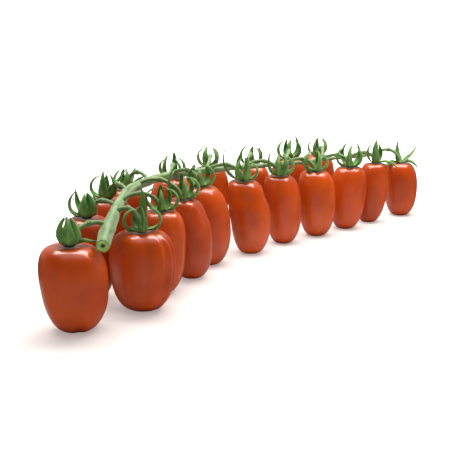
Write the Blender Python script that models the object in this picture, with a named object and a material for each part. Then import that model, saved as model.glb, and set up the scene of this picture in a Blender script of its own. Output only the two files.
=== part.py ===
"""Truss of oblong tomatoes standing on their blossom ends with the stem on top.

Metres, +Z up. The truss runs along X with the cut end of its stem at -X.
Each tomato, each calyx and the branching stem is one closed solid.
"""
import math
import random
from dataclasses import dataclass

import bmesh
import bpy
from mathutils import Vector

MM = 0.001

# Truss
ORIGIN_SHIFT_X = 5.6
ORIGIN_SHIFT_Y = 5.0
GAP = 0.35

# Tomato skin
FRUIT_SEGMENTS = 15
FRUIT_RINGS = 10
FIRST_RING = 0.055
LAST_RING = 0.935
TAPER_POWER = 1.5
WAIST_LEVEL = 0.78
WAIST_SPREAD = 0.10
LOBE_AT_FOOT = 0.35
LOBE_MEAN = 0.62
SHOULDER_SQUARENESS = 0.48
FOOT_SQUARENESS = 0.60
END_FLATNESS = 0.80
HOLLOW_DEPTH = 1.9
HOLLOW_RADIUS = 4.6
REST_SPOT_DROP = 0.35
SQUEEZE_HEADING = 24.0
BOW_HEADING = 130.0

# Calyx
HUB_SIDES = 8
HUB_FOOT_RADIUS = 1.9
HUB_RADIUS = 2.5
HUB_RADIUS_HEIGHT = 0.85
HUB_SHOULDER_RADIUS = 2.0
HUB_SHOULDER_HEIGHT = 1.5
HUB_TOP_RADIUS = 1.35
HUB_TOP_HEIGHT = 2.3
SEPAL_WIDTH = 5.6
SEPAL_BASE_SHARE = 0.55
SEPAL_SPREAD_RATE = 1.8
SEPAL_TIP_POWER = 0.7
SEPAL_TIP_SHARE = 0.16
SEPAL_FLAT_SHARE = 0.10
SEPAL_BEND_POWER = 1.6
SEPAL_BEND_EASE = 0.0075
SEPAL_BEND_FROM = 112.0
SEPAL_THICKNESS = 0.85
SEPAL_FOLD = 0.30
SEPAL_FOLD_MOST = 1.3
SEPAL_STATIONS = 8
SEPAL_FOLD_RATE = 4.0
SEPAL_ROOT_RADIUS = 1.5
SEPAL_ROOT_HEIGHT = 1.15
SEPAL_SKIN_ROOM = 0.95
SKIN_SEARCH_REACH = 1.0
SKIN_SEARCH_STEPS = 48

# Fruit stalks
STALK_RADIUS = 1.05
KNUCKLE_RADIUS = 1.6
KNUCKLE_AT = 0.50
KNUCKLE_LENGTH = 0.06
STALK_SIDES = 5
STALK_STATIONS = 5
STALK_END = 0.985
STALK_END_SWELL = 0.35
STALK_SEAT_HEIGHT = 0.75
STALK_ARM = 0.45
STALK_ARM_ALONG = 0.35
STALK_ARM_AWAY = 0.35
STALK_ARM_UP = 0.50
STALK_ARCH_SHARE = 0.9
STALK_DROP_ARM = 0.12
STALK_DROP_HEIGHT = 3.0
STALK_LEAST_REACH = 4.0
STALK_ROOT_SWELL = 1.3
STALK_ROOT_SHARE = 0.8
STALK_ROOT_PLACES = (0.0, 0.16, 0.30)
TIP_STALK_START = 0.02

# Main stem
STEM_SIDES = 8
STEM_STATIONS = 29
CUT_HOLLOW_RADIUS = 0.9
CUT_HOLLOW_FOOT_RADIUS = 0.72
CUT_HOLLOW_DEPTH = 1.2

# Fusing
MERGE_DISTANCE = 0.000005


@dataclass(frozen=True)
class Fruit:
    """One tomato with the place where its stalk leaves the stem, in millimetres."""

    name: str
    x: float
    y: float
    width: float
    height: float
    lean_x: float
    lean_y: float
    bow: float
    taper: float
    waist: float
    lobes: int
    lobe_depth: float
    turn: float
    squeeze: float
    root: float
    arch: float
    sepals: tuple


@dataclass(frozen=True)
class Sepal:
    """One sepal: heading, length, angle at the root, angle at the tip, side sway."""

    heading: float
    length: float
    rise: float
    curl: float
    sway: float = 0.0
    width: float = 1.0


def sepal_ring(seed, first, count=5, length=20.0, rise=2.0, curl=178.0):
    """A regular ring of sepals with small natural differences."""
    rng = random.Random(seed)
    ring = []
    for index in range(count):
        ring.append(Sepal(
            heading=first + 360.0 * index / count + rng.uniform(-9.0, 9.0),
            length=length * rng.uniform(0.90, 1.12),
            rise=rise + rng.uniform(-4.0, 8.0),
            curl=curl + rng.uniform(-20.0, 20.0),
            sway=rng.uniform(-20.0, 20.0),
            width=rng.uniform(0.90, 1.12)))
    return tuple(ring)


FRONT = (
    Fruit("tomato_front_01", -110.7, -37.3, 34.2, 39.1, -0.5, 0.6, 1.0, 0.17, 0.0, 5, 0.055, 20.0,
        0.14, 2.55, 4.5,
        (
            Sepal(160, 21.3, 0, 200, -20), Sepal(-48, 21.3, 0, 200),
            Sepal(-128, 17.9, 4, 137, 10, 1.1), Sepal(35, 21.3, 62, 107),
            Sepal(88, 16.8, 22, 169),)),
    Fruit("tomato_front_02", -86.5, -25.0, 27.2, 43.2, 0.3, -0.4, 0.0, 0.17, 0.0, 4, 0.03, 60.0,
        0.1, 3.6, 5.0,
        (
            Sepal(-58, 20.7, 0, 200, 0, 1.1), Sepal(125, 19, 10, 182), Sepal(-132, 16.8, 6, 156),
            Sepal(44, 17.9, 26, 160), Sepal(2, 19, 8, 177),)),
    Fruit("tomato_front_03", -57.0, -21.2, 25.6, 44.5, -7.4, 2.4, 1.3, 0.17, 0.05, 4, 0.04, 10.0,
        0.06, 5.75, 4.0,
        (
            Sepal(130, 21.3, 34, 131), Sepal(-52, 21.3, 0, 200, 0, 1.2),
            Sepal(-122, 17.9, 4, 154), Sepal(40, 17.9, 26, 155), Sepal(-8, 19, 6, 180),)),
    Fruit("tomato_front_04", -31.6, -11.8, 27.2, 45.5, -4.3, 4.9, 1.8, 0.17, 0.0, 4, 0.03, 80.0,
        0.04, 8.15, 4.0,
        sepal_ring(41, first=-140)),
    Fruit("tomato_front_05", 2.3, -15.3, 25.8, 44.0, -4.4, 5.1, 1.8, 0.17, 0.07, 4, 0.035, 35.0,
        0.03, 9.65, 4.0,
        (
            Sepal(130, 24.6, 12, 105), Sepal(-170, 20.2, 6, 163),
            Sepal(-122, 20.2, 10, 120, -14, 1.25), Sepal(-50, 19, 0, 190), Sepal(18, 19, 16, 163),
            Sepal(74, 19, 34, 134),)),
    Fruit("tomato_front_06", 32.7, -16.1, 23.8, 42.8, -2.8, 3.2, 1.2, 0.17, 0.0, 4, 0.03, 5.0,
        0.03, 11.45, 4.0,
        (
            Sepal(166, 20, 8, 118), Sepal(-150, 20.2, 4, 171), Sepal(-110, 19, 4, 141, 0, 1.15),
            Sepal(-48, 20.2, 0, 190), Sepal(46, 16.8, 34, 156), Sepal(-6, 16.8, 20, 150),)),
    Fruit("tomato_front_07", 60.9, -21.5, 25.0, 42.0, -1.9, 2.3, 1.3, 0.17, 0.0, 4, 0.03, 50.0,
        0.03, 12.7, 4.0,
        sepal_ring(44, first=-119, curl=184)),
    Fruit("tomato_front_08", 89.0, -25.8, 24.5, 41.3, 0.2, -0.2, 1.8, 0.17, 0.0, 4, 0.03, 25.0,
        0.03, 13.65, 4.0,
        sepal_ring(27, first=-150, curl=162)),
    Fruit("tomato_front_09", 114.6, -28.4, 21.8, 40.5, 1.3, -1.1, 2.2, 0.17, 0.04, 4, 0.04, 70.0,
        0.03, 14.65, 3.6,
        (
            Sepal(-70, 15, 14, -34), Sepal(130, 17.9, 30, 148), Sepal(-150, 16.8, 60, 103),
            Sepal(40, 17.9, 30, 144), Sepal(-8, 15.7, 30, 139),)),
    Fruit("tomato_front_10", 145.3, -33.7, 24.1, 37.3, -1.7, 2.0, 0.8, 0.17, 0.0, 5, 0.05, 0.0,
        0.03, 16.0, 3.0,
        (
            Sepal(161, 13, 16, -40), Sepal(-65, 14, 14, -52), Sepal(-29, 17, 14, 66),
            Sepal(101, 16.8, 66, 111), Sepal(46, 14.6, 30, 96),)),
)

BACK = (
    Fruit("tomato_back_01", -150.6, -34.4, 32.9, 40.0, -1.8, 2.0, 0.8, 0.2, 0.0, 5, 0.03, 15.0,
        0.03, 1.35, 3.4,
        (
            Sepal(-135, 17.5, 26, 148, 10, 1.5), Sepal(-86, 16.5, 26, 150, 0, 1.35),
            Sepal(-50, 11, 24, -4), Sepal(22, 15.5, 30, 148), Sepal(100, 16, 26, 150, 0, 1.15),
            Sepal(172, 17, 26, 144, 0, 1.35),)),
    Fruit("tomato_back_02", -117.6, -5.3, 29.0, 42.3, 0.0, 0.0, 0.0, 0.17, 0.0, 4, 0.03, 40.0,
        0.03, 3.15, 3.6,
        (
            Sepal(131, 20, 2, 146), Sepal(-154, 16, 26, 150, 0, 1.4),
            Sepal(-92, 16, 26, 150, 0, 1.4), Sepal(-18, 15, 34, 130, 0, 1.1),
            Sepal(36, 15.5, 30, 150), Sepal(86, 16, 24, 90),)),
    Fruit("tomato_back_03", -86.5, 13.5, 28.0, 44.0, 0.0, 0.0, 0.0, 0.17, 0.0, 4, 0.03, 0.0, 0.03,
        4.8, 3.6,
        (
            Sepal(125, 21.3, 0, 182), Sepal(-155, 19.5, 22, 126, 0, 1.4), Sepal(-20, 18, 60, 52),
            Sepal(50, 16.8, 18, 150), Sepal(-84, 17, 24, 146, 0, 1.3),)),
    Fruit("tomato_back_04", -58.5, 28.0, 25.0, 43.0, 0.0, 0.0, 0.0, 0.17, 0.0, 4, 0.03, 30.0,
        0.03, 6.7, 5.0,
        (
            Sepal(150, 16.8, 4, 156, 0, 1.2), Sepal(10, 13, 52, 56), Sepal(-50, 13, 44, 30),
            Sepal(70, 15.7, 14, 155), Sepal(-130, 16.8, 4, 150, 0, 1.2),)),
    Fruit("tomato_back_05", -21.0, 28.0, 28.0, 43.6, 0.0, 0.0, 0.0, 0.17, 0.0, 4, 0.03, 65.0,
        0.03, 8.05, 3.6,
        sepal_ring(17, first=-175, curl=164)),
    Fruit("tomato_back_06", 17.0, 32.0, 26.0, 44.4, 0.0, 0.0, 0.0, 0.17, 0.0, 4, 0.03, 20.0, 0.03,
        9.6, 4.0,
        sepal_ring(36, first=-159, length=17.5, rise=10, curl=150)),
    Fruit("tomato_back_07", 46.1, 20.4, 25.0, 42.6, 0.0, 0.0, 0.0, 0.17, 0.0, 4, 0.03, 55.0, 0.03,
        11.45, 4.2,
        sepal_ring(52, first=-165, length=18.0, rise=8, curl=160)),
    Fruit("tomato_back_08", 80.0, 15.4, 26.0, 43.2, 0.0, 0.0, 0.0, 0.17, 0.0, 4, 0.03, 75.0, 0.03,
        12.65, 4.0,
        sepal_ring(68, first=-150, curl=165)),
    Fruit("tomato_back_09", 111.0, 13.5, 24.0, 42.0, 0.0, 0.0, 0.0, 0.17, 0.0, 4, 0.03, 45.0,
        0.03, 13.65, 4.0,
        sepal_ring(79, first=-165, length=17, curl=160)),
)

# Course of the main stem: x, y, height and thickness, cut end first
STEM_COURSE = (
    (-146.5, -48.1, 41.0, 6.0), (-135.7, -39.2, 43.5, 5.6), (-125.5, -31.3, 45.2, 5.3),
    (-112.7, -20.9, 47.0, 5.0), (-98.4, -10.1, 48.2, 4.9), (-84.2, -0.5, 49.0, 5.5),
    (-69.1, 6.5, 49.0, 5.0), (-55.8, 11.0, 49.0, 4.9), (-39.9, 13.2, 49.0, 4.4),
    (-22.4, 11.5, 48.6, 3.9), (-5.5, 8.6, 48.0, 3.6), (8.5, 7.0, 47.2, 3.1),
    (31.2, 2.7, 46.0, 2.8), (60.9, -3.5, 44.4, 2.5), (94.1, -9.4, 43.6, 2.3),
    (116.8, -14.8, 42.6, 2.1), (130.7, -18.4, 42.6, 2.0),
)


def fruit_axis(fruit, z):
    """Place of the leaning, bowed middle line at one height."""
    level = min(max(z / fruit.height, 0.0), 1.0)
    lean = level ** 2
    bow = fruit.bow * (1.0 - level) ** 2
    heading = math.radians(BOW_HEADING)
    return Vector((
        fruit.x + fruit.lean_x * lean + bow * math.cos(heading),
        fruit.y + fruit.lean_y * lean + bow * math.sin(heading),
        0.0))


def fruit_point(fruit, up, around):
    """Point of the skin in millimetres; up runs 0 at the blossom end to 1 at the stalk."""
    angle = math.pi * up
    power = SHOULDER_SQUARENESS if up > 0.5 else FOOT_SQUARENESS
    reach = max(math.sin(angle), 0.0) ** power
    lift = math.cos(angle)
    level = 0.5 - 0.5 * math.copysign(abs(lift) ** END_FLATNESS, lift)
    half = 0.5 * fruit.width
    reach *= 1.0 - fruit.taper * (1.0 - level) ** TAPER_POWER
    reach *= 1.0 - fruit.waist * math.exp(-((level - WAIST_LEVEL) / WAIST_SPREAD) ** 2)
    shoulder = LOBE_AT_FOOT + (1.0 - LOBE_AT_FOOT) * level
    lobe = 0.5 - 0.5 * math.cos(fruit.lobes * (around - math.radians(fruit.turn)))
    reach *= 1.0 + fruit.lobe_depth * shoulder * (lobe - LOBE_MEAN)
    facing = math.cos(around - math.radians(SQUEEZE_HEADING))
    reach *= 1.0 - fruit.squeeze * facing * facing
    radius = half * reach
    z = (fruit.height + REST_SPOT_DROP) * level - REST_SPOT_DROP
    if up > 0.5:
        z -= HOLLOW_DEPTH * math.exp(-(radius / HOLLOW_RADIUS) ** 2)
    z = max(z, 0.0)
    axis = fruit_axis(fruit, z)
    return Vector((axis.x + radius * math.cos(around), axis.y + radius * math.sin(around), z))


def ring_levels(count):
    """Places of the rings from the rest spot to the hollow round the stalk."""
    span = LAST_RING - FIRST_RING
    return [FIRST_RING + span * index / (count - 1) for index in range(count)]


def calyx_seat(fruit):
    """Bottom of the hollow on top of the fruit."""
    top = fruit_point(fruit, 1.0, 0.0)
    highest = top.z
    for index in range(FRUIT_SEGMENTS):
        around = 2.0 * math.pi * index / FRUIT_SEGMENTS
        edge = fruit_point(fruit, LAST_RING, around)
        spread = math.hypot(edge.x - top.x, edge.y - top.y)
        highest = max(highest, top.z + (edge.z - top.z) * HUB_RADIUS / spread)
    return Vector((top.x, top.y, highest))


def catmull(points, place):
    """Point on a smooth curve through the given points at a fractional index."""
    last = len(points) - 1
    place = min(max(place, 0.0), last - 1e-9)
    index = int(place)
    t = place - index
    p0 = points[max(index - 1, 0)]
    p1 = points[index]
    p2 = points[min(index + 1, last)]
    p3 = points[min(index + 2, last)]
    return 0.5 * ((2 * p1) + (p2 - p0) * t + (2 * p0 - 5 * p1 + 4 * p2 - p3) * t * t
                  + (3 * p1 - p0 - 3 * p2 + p3) * t * t * t)


def stem_point(place):
    """Centre of the main stem at a fractional index of its course."""
    return catmull([Vector(row[:3]) for row in STEM_COURSE], place)


def stem_radius(place):
    """Radius of the main stem at a fractional index of its course."""
    radii = [Vector((row[3] / 2, 0.0, 0.0)) for row in STEM_COURSE]
    return catmull(radii, place).x


def stem_heading(place):
    """Direction of the main stem at a fractional index of its course."""
    last = len(STEM_COURSE) - 1
    low = max(place - 0.05, 0.0)
    high = min(place + 0.05, last)
    return (stem_point(high) - stem_point(low)).normalized()


def stalk_curve(fruit):
    """Four control points of the arching fruit stalk from the stem to the calyx."""
    seat = calyx_seat(fruit) + Vector((0.0, 0.0, STALK_SEAT_HEIGHT))
    start = stem_point(fruit.root)
    along = stem_heading(fruit.root)
    away = seat - start
    away.z = 0.0
    reach = max(away.length, STALK_LEAST_REACH)
    start_arm = along * STALK_ARM_ALONG + away.normalized() * STALK_ARM_AWAY
    start_arm.z += STALK_ARM_UP
    start_arm *= STALK_ARM * reach
    start_arm.z = max(start_arm.z, fruit.arch * STALK_ARCH_SHARE)
    end_arm = Vector((-away.x, -away.y, 0.0)).normalized() * STALK_DROP_ARM * reach
    end_arm.z = fruit.arch + max(start.z - seat.z, 0.0) + STALK_DROP_HEIGHT
    return start, start + start_arm, seat + end_arm, seat


def bezier(points, t):
    """Point on a cubic curve."""
    a, b, c, d = points
    s = 1.0 - t
    return a * s ** 3 + b * (3 * s * s * t) + c * (3 * s * t * t) + d * t ** 3


def bezier_heading(points, t):
    """Direction of a cubic curve."""
    a, b, c, d = points
    s = 1.0 - t
    value = (b - a) * (3 * s * s) + (c - b) * (6 * s * t) + (d - c) * (3 * t * t)
    return value.normalized()


def bezier_length(points):
    """Length of a cubic curve from short straight pieces."""
    count = 24
    places = [bezier(points, i / count) for i in range(count + 1)]
    return sum((places[i + 1] - places[i]).length for i in range(count))


def frame_along(headings):
    """Side vectors carried along a path without twisting."""
    side = headings[0].cross(Vector((0.0, 0.0, 1.0)))
    if side.length < 1e-3:
        side = headings[0].cross(Vector((0.0, 1.0, 0.0)))
    side.normalize()
    sides = []
    for heading in headings:
        side = side - heading * side.dot(heading)
        side.normalize()
        sides.append(side.copy())
    return sides


def loft(name, sections):
    """Closed solid through sections that all have the same number of points."""
    mesh = bpy.data.meshes.new(name)
    bm = bmesh.new()
    rows = [[bm.verts.new(point * MM) for point in section] for section in sections]
    count = len(sections[0])
    for low, high in zip(rows[:-1], rows[1:]):
        for index in range(count):
            nxt = (index + 1) % count
            bm.faces.new((low[index], low[nxt], high[nxt], high[index]))
    bm.faces.new(list(reversed(rows[0])))
    bm.faces.new(rows[-1])
    bmesh.ops.triangulate(bm, faces=bm.faces)
    bmesh.ops.recalc_face_normals(bm, faces=bm.faces)
    bm.to_mesh(mesh)
    bm.free()
    return bpy.data.objects.new(name, mesh)


def tube(name, centres, headings, radii, sides):
    """Round bar with a changing radius along a path."""
    sections = []
    for centre, heading, side, radius in zip(centres, headings, frame_along(headings), radii):
        other = heading.cross(side)
        ring = []
        for index in range(sides):
            angle = 2.0 * math.pi * index / sides
            ring.append(centre + side * (math.cos(angle) * radius)
                        + other * (math.sin(angle) * radius))
        sections.append(ring)
    return loft(name, sections)


def build_tomato(fruit):
    """One tomato: ribbed, tapering, with a flat rest spot and a hollow on top."""
    mesh = bpy.data.meshes.new(fruit.name)
    bm = bmesh.new()
    rows = []
    for up in ring_levels(FRUIT_RINGS):
        row = []
        for index in range(FRUIT_SEGMENTS):
            around = 2.0 * math.pi * index / FRUIT_SEGMENTS
            row.append(bm.verts.new(fruit_point(fruit, up, around) * MM))
        rows.append(row)
    for vert in rows[0]:
        vert.co.z = 0.0
    for low, high in zip(rows[:-1], rows[1:]):
        for index in range(FRUIT_SEGMENTS):
            nxt = (index + 1) % FRUIT_SEGMENTS
            bm.faces.new((low[index], low[nxt], high[nxt], high[index]))
    bm.faces.new(list(reversed(rows[0])))
    pole = bm.verts.new(fruit_point(fruit, 1.0, 0.0) * MM)
    for index in range(FRUIT_SEGMENTS):
        nxt = (index + 1) % FRUIT_SEGMENTS
        bm.faces.new((rows[-1][index], rows[-1][nxt], pole))
    bmesh.ops.recalc_face_normals(bm, faces=bm.faces)
    bm.to_mesh(mesh)
    bm.free()
    return bpy.data.objects.new(fruit.name, mesh)


def clear_of_skin(fruit, point):
    """Lifts a sepal point that would come too near the skin of its own fruit."""
    axis = fruit_axis(fruit, point.z)
    out = Vector((point.x - axis.x, point.y - axis.y, 0.0))
    distance = out.length
    around = math.atan2(out.y, out.x)
    best = -1.0
    for step in range(SKIN_SEARCH_STEPS // 2, SKIN_SEARCH_STEPS):
        skin = fruit_point(fruit, step / SKIN_SEARCH_STEPS, around)
        spread = math.hypot(skin.x - axis.x, skin.y - axis.y)
        if spread >= distance - SKIN_SEARCH_REACH:
            best = max(best, skin.z)
    if best > 0.0 and point.z < best + SEPAL_SKIN_ROOM:
        point.z = best + SEPAL_SKIN_ROOM
    return point


def sepal_course(fruit, seat, sepal, count):
    """Spine points of one sepal from its root in the hub to its tip."""
    heading = math.radians(sepal.heading)
    step = sepal.length / (count - 1)
    power = SEPAL_BEND_POWER - SEPAL_BEND_EASE * max(sepal.curl - SEPAL_BEND_FROM, 0.0)
    point = seat + Vector((math.cos(heading), math.sin(heading), 0.0)) * SEPAL_ROOT_RADIUS
    point.z += SEPAL_ROOT_HEIGHT
    spine = [point.copy()]
    for index in range(1, count):
        share = (index - 0.5) / (count - 1)
        bent = max(share - SEPAL_FLAT_SHARE, 0.0) / (1.0 - SEPAL_FLAT_SHARE)
        bend = 1.0 - (1.0 - bent) ** power
        angle = math.radians(sepal.rise + (sepal.curl - sepal.rise) * bend)
        turn = heading + math.radians(sepal.sway) * share
        flat = Vector((math.cos(turn), math.sin(turn), 0.0))
        point = point + (flat * math.cos(angle) + Vector((0, 0, 1)) * math.sin(angle)) * step
        point = clear_of_skin(fruit, point.copy())
        spine.append(point.copy())
    return spine


def build_sepal(name, fruit, seat, sepal):
    """One lance-shaped sepal as a closed blade with a rounded back."""
    spine = sepal_course(fruit, seat, sepal, SEPAL_STATIONS)
    across = Vector((-math.sin(math.radians(sepal.heading)),
                     math.cos(math.radians(sepal.heading)), 0.0))
    sections = []
    for index, centre in enumerate(spine):
        low = spine[max(index - 1, 0)]
        high = spine[min(index + 1, len(spine) - 1)]
        heading = (high - low).normalized()
        side = across - heading * across.dot(heading)
        side.normalize()
        back = heading.cross(side)
        share = index / (len(spine) - 1)
        wide = min(1.0, SEPAL_BASE_SHARE + SEPAL_SPREAD_RATE * share)
        wide *= (1.0 - share) ** SEPAL_TIP_POWER
        half = 0.5 * SEPAL_WIDTH * sepal.width * max(wide, SEPAL_TIP_SHARE)
        thick = 0.5 * SEPAL_THICKNESS
        fold = min(2.0 * half * SEPAL_FOLD, SEPAL_FOLD_MOST) * min(1.0, SEPAL_FOLD_RATE * share)
        edge = centre + back * max(fold, thick)
        sections.append([edge + side * half, edge - side * half, centre - back * thick])
    return loft(name, sections)


def build_calyx(fruit, name, collection):
    """Hub, sepals and the outer part of the stalk, fused into one solid."""
    seat = calyx_seat(fruit)
    parts = []
    hub_sections = []
    for height, radius in ((GAP, HUB_FOOT_RADIUS), (HUB_RADIUS_HEIGHT, HUB_RADIUS),
                           (HUB_SHOULDER_HEIGHT, HUB_SHOULDER_RADIUS),
                           (HUB_TOP_HEIGHT, HUB_TOP_RADIUS)):
        ring = []
        for index in range(HUB_SIDES):
            angle = 2.0 * math.pi * index / HUB_SIDES
            ring.append(seat + Vector((math.cos(angle) * radius, math.sin(angle) * radius,
                                       height)))
        hub_sections.append(ring)
    parts.append(loft(name + "_hub", hub_sections))
    for index, sepal in enumerate(fruit.sepals):
        parts.append(build_sepal(name + "_sepal_%d" % index, fruit, seat, sepal))
    curve = stalk_curve(fruit)
    half_gap = 0.5 * GAP / bezier_length(curve)
    start = KNUCKLE_AT + half_gap
    slim = start + KNUCKLE_LENGTH
    shares = [i / STALK_STATIONS for i in range(STALK_STATIONS + 1)]
    places = [start] + [slim + (STALK_END - slim) * share for share in shares]
    swell = [KNUCKLE_RADIUS] + [
        STALK_RADIUS * (1.0 + STALK_END_SWELL * share ** 2) for share in shares]
    parts.append(tube(name + "_stalk", [bezier(curve, t) for t in places],
                      [bezier_heading(curve, t) for t in places], swell, STALK_SIDES))
    return fuse(name, parts, collection)


def build_stem(name, collection):
    """Main stem with its side branches up to the knuckles, fused into one solid."""
    last = len(STEM_COURSE) - 1
    places = [last * i / (STEM_STATIONS - 1) for i in range(STEM_STATIONS)]
    centres = [stem_point(place) for place in places]
    headings = [stem_heading(place) for place in places]
    radii = [stem_radius(place) for place in places]
    face = centres[0]
    inward = headings[0] * CUT_HOLLOW_DEPTH
    centres = [face + inward, face] + centres
    headings = [headings[0], headings[0]] + headings
    radii = [CUT_HOLLOW_FOOT_RADIUS, CUT_HOLLOW_RADIUS] + radii
    parts = [tube(name + "_bar", centres, headings, radii, STEM_SIDES)]
    for fruit in FRONT + BACK:
        curve = stalk_curve(fruit)
        half_gap = 0.5 * GAP / bezier_length(curve)
        stop = KNUCKLE_AT - half_gap
        steps = [*STALK_ROOT_PLACES, stop - KNUCKLE_LENGTH, stop]
        thick = min(STALK_RADIUS * STALK_ROOT_SWELL, stem_radius(fruit.root) * STALK_ROOT_SHARE)
        radii = [thick, thick, STALK_RADIUS, STALK_RADIUS, KNUCKLE_RADIUS]
        if fruit.root >= last:
            steps[0] = TIP_STALK_START
        parts.append(tube(name + "_branch", [bezier(curve, t) for t in steps],
                          [bezier_heading(curve, t) for t in steps], radii, STALK_SIDES))
    return fuse(name, parts, collection)


def fuse(name, parts, collection):
    """One closed solid from overlapping closed solids."""
    first = parts[0]
    rest = bpy.data.collections.new(name + "_parts")
    bpy.context.scene.collection.children.link(rest)
    collection.objects.link(first)
    for part in parts[1:]:
        rest.objects.link(part)
    first.name = name
    union = first.modifiers.new("union", "BOOLEAN")
    union.operation = "UNION"
    union.operand_type = "COLLECTION"
    union.collection = rest
    union.solver = "EXACT"
    bpy.context.view_layer.update()
    graph = bpy.context.evaluated_depsgraph_get()
    mesh = bpy.data.meshes.new_from_object(first.evaluated_get(graph))
    mesh.name = name
    first.modifiers.clear()
    first.data = mesh
    for part in parts[1:]:
        bpy.data.objects.remove(part, do_unlink=True)
    bpy.data.collections.remove(rest)
    tidy = bmesh.new()
    tidy.from_mesh(mesh)
    bmesh.ops.remove_doubles(tidy, verts=tidy.verts, dist=MERGE_DISTANCE)
    bmesh.ops.dissolve_degenerate(tidy, edges=tidy.edges, dist=MERGE_DISTANCE)
    loose = [edge for edge in tidy.edges if not edge.link_faces]
    bmesh.ops.delete(tidy, geom=loose, context="EDGES")
    bmesh.ops.triangulate(tidy, faces=tidy.faces)
    tidy.to_mesh(mesh)
    tidy.free()
    return first


def material(name, colour, roughness):
    """Plain surface colour for one kind of tissue."""
    mat = bpy.data.materials.new(name)
    mat.use_nodes = True
    shader = mat.node_tree.nodes["Principled BSDF"]
    shader.inputs["Base Color"].default_value = (*colour, 1.0)
    shader.inputs["Roughness"].default_value = roughness
    shader.inputs["Metallic"].default_value = 0.0
    mat.diffuse_color = (*colour, 1.0)
    return mat


def finish(obj, mat, collection):
    """Puts a finished solid in the collection with its material, moved to the origin."""
    if obj.name not in collection.objects:
        collection.objects.link(obj)
    obj.data.materials.clear()
    obj.data.materials.append(mat)
    for face in obj.data.polygons:
        face.use_smooth = True
        face.material_index = 0
    for vert in obj.data.vertices:
        vert.co.x += ORIGIN_SHIFT_X * MM
        vert.co.y += ORIGIN_SHIFT_Y * MM


def main():
    """Builds the truss: the tomatoes, their calyxes and the stem."""
    for obj in list(bpy.data.objects):
        bpy.data.objects.remove(obj, do_unlink=True)
    truss = bpy.data.collections.new("tomato_truss")
    bpy.context.scene.collection.children.link(truss)
    skin = material("tomato_skin", (0.55, 0.06, 0.015), 0.25)
    leaf = material("calyx_green", (0.09, 0.20, 0.05), 0.65)
    bark = material("stem_green", (0.30, 0.42, 0.20), 0.70)
    for fruit in FRONT + BACK:
        finish(build_tomato(fruit), skin, truss)
        finish(build_calyx(fruit, fruit.name.replace("tomato", "calyx"), truss), leaf, truss)
    finish(build_stem("stem", truss), bark, truss)


main()
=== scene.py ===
"""Looks of a truss of ripe oblong tomatoes standing on their blossom ends.

The fruits stand in two rows, and the cut, branching stem lies on top of them.
Lengths in the plans below are in millimetres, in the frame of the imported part.
"""
import logging
import math
import random
from dataclasses import dataclass, field, replace
from enum import Enum

import bpy
import numpy as np
from mathutils import Matrix, Vector, noise


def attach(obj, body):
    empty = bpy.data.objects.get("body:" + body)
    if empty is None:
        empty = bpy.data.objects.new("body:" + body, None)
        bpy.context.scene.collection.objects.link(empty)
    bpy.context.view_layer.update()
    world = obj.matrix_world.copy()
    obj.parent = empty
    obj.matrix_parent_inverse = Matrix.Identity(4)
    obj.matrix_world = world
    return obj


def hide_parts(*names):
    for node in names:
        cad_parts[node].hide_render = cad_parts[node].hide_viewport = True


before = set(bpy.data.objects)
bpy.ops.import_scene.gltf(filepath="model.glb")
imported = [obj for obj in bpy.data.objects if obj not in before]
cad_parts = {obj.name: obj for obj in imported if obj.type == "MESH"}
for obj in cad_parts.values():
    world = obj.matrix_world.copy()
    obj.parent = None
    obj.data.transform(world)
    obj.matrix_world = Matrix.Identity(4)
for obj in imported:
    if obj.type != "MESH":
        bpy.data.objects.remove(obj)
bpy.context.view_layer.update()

log = logging.getLogger("truss")

MM = 0.001
TRUSS_SHIFT = Vector((5.6, 5.0, 0.0))
GAP = 0.35
HAIR_RADIUS = 0.035
SPECK_RELIEF = 0.35
SPECK_RANGE = (0.62, 0.72)
# Finish numbers of the calyxes and of the stem; the hairs are number 2 on both
SEPAL, STALK, HAIRS = range(3)
BARK, CUT, INNER_STALK = 0, 1, 3
FULL_TURN = 2.0 * math.pi


class Ripeness(Enum):
    """How far a fruit has ripened, which sets the tone of its skin."""

    DEEP = "deep"
    FULL = "full"
    BRIGHT = "bright"


@dataclass(frozen=True)
class SepalPlan:
    """One sepal of a calyx.

    heading: direction in degrees from the truss axis. length: in millimetres.
    rise and curl: angle to the floor at the root and at the tip. sway: turn of
    the heading along the sepal. width: share of the usual width.
    """

    heading: float
    length: float
    rise: float
    curl: float
    sway: float = 0.0
    width: float = 1.0


@dataclass(frozen=True)
class Crease:
    """A furrow that runs down a fruit.

    heading and spread: direction and half width in degrees. depth: share of
    the radius. low and high: shares of the height between which it runs.
    """

    heading: float
    depth: float
    spread: float
    low: float = 0.0
    high: float = 1.0


@dataclass(frozen=True)
class FruitPlan:
    """Sizes and place of one fruit and of the stalk that carries it.

    turn: heading of the first lobe in degrees. root: place on the main stem
    where the stalk leaves. lean_x and lean_y: how far the top is off the foot.
    bow: how far the foot swings out. taper, waist, lobe_depth and squeeze:
    shares of the radius. arch: height of the stalk's arch.
    """

    name: str
    x: float
    y: float
    width: float
    height: float
    turn: float
    root: float
    sepals: tuple
    lean_x: float = 0.0
    lean_y: float = 0.0
    bow: float = 0.0
    taper: float = 0.17
    waist: float = 0.0
    lobes: int = 4
    lobe_depth: float = 0.03
    squeeze: float = 0.03
    arch: float = 4.0
    creases: tuple = ()
    ripeness: Ripeness = Ripeness.FULL


def sepal_rows(*rows: tuple) -> tuple:
    """Makes the plans of a calyx from the sizes of each sepal."""
    return tuple(SepalPlan(*row) for row in rows)


def crease_rows(*rows: tuple) -> tuple:
    """Makes the creases of a fruit from the sizes of each."""
    return tuple(Crease(*row) for row in rows)


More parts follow.
